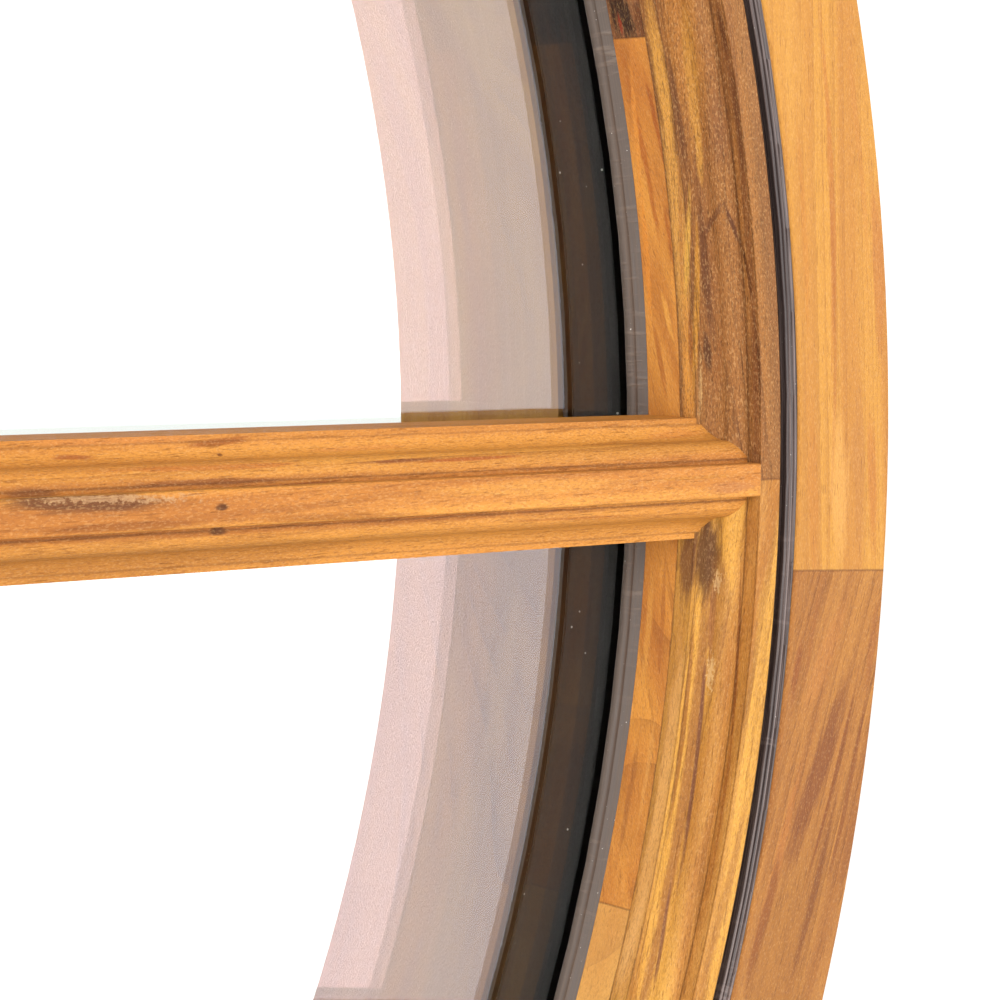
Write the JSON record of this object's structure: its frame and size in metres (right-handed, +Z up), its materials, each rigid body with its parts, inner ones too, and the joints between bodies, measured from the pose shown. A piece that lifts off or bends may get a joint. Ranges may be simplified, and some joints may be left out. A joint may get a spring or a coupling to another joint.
{
  "type": "round window",
  "caption": "Round hardwood window: a deep jointed frame, a moulded ring with one straight horizontal glazing bar, and a sealed double glazing unit.",
  "frame": {"origin": "centre of the round frame in the plane of its front face", "axes": "+X to the right along the glazing bar, +Y from the front face to the rear face along the window's axis, +Z up"},
  "size_m": [0.8, 0.1165, 0.8],
  "materials": {
    "frame_wood": "clear satin stain",
    "sash_wood": "clear satin stain",
    "bar_wood": "clear satin stain",
    "dowel_wood": "bare",
    "pane_glass": "clear polished",
    "spacer_plastic": "matt",
    "butyl": "matt",
    "seal_rubber": "matt",
    "tape_foam": "matt",
    "block_plastic": "matt"
  },
  "bodies": {
    "root": {"frame_segment_01": "frame_wood", "frame_segment_02": "frame_wood", "frame_segment_03": "frame_wood", "frame_segment_04": "frame_wood", "frame_segment_05": "frame_wood", "frame_segment_06": "frame_wood", "frame_segment_07": "frame_wood", "frame_segment_08": "frame_wood", "frame_segment_09": "frame_wood", "frame_segment_10": "frame_wood", "frame_segment_11": "frame_wood", "frame_segment_12": "frame_wood", "sash_front_segment_01": "sash_wood", "sash_front_segment_02": "sash_wood", "sash_front_segment_03": "sash_wood", "sash_front_segment_04": "sash_wood", "sash_front_segment_05": "sash_wood", "sash_front_segment_06": "sash_wood", "sash_front_segment_07": "sash_wood", "sash_front_segment_08": "sash_wood", "sash_front_segment_09": "sash_wood", "sash_front_segment_10": "sash_wood", "sash_front_segment_11": "sash_wood", "sash_front_segment_12": "sash_wood", "sash_back_segment_01": "sash_wood", "sash_back_segment_02": "sash_wood", "sash_back_segment_03": "sash_wood", "sash_back_segment_04": "sash_wood", "sash_back_segment_05": "sash_wood", "sash_back_segment_06": "sash_wood", "sash_back_segment_07": "sash_wood", "sash_back_segment_08": "sash_wood", "sash_back_segment_09": "sash_wood", "sash_back_segment_10": "sash_wood", "sash_back_segment_11": "sash_wood", "sash_back_segment_12": "sash_wood", "glazing_bar": "bar_wood", "front_pane": "pane_glass", "rear_pane": "pane_glass", "spacer": "spacer_plastic", "butyl_front": "butyl", "butyl_rear": "butyl", "edge_sealant": "butyl", "glazing_seal": "seal_rubber", "rear_glazing_tape": "tape_foam", "weather_seal": "seal_rubber", "setting_blocks": "block_plastic", "frame_dowels": "dowel_wood"}
  },
  "joints": []
}
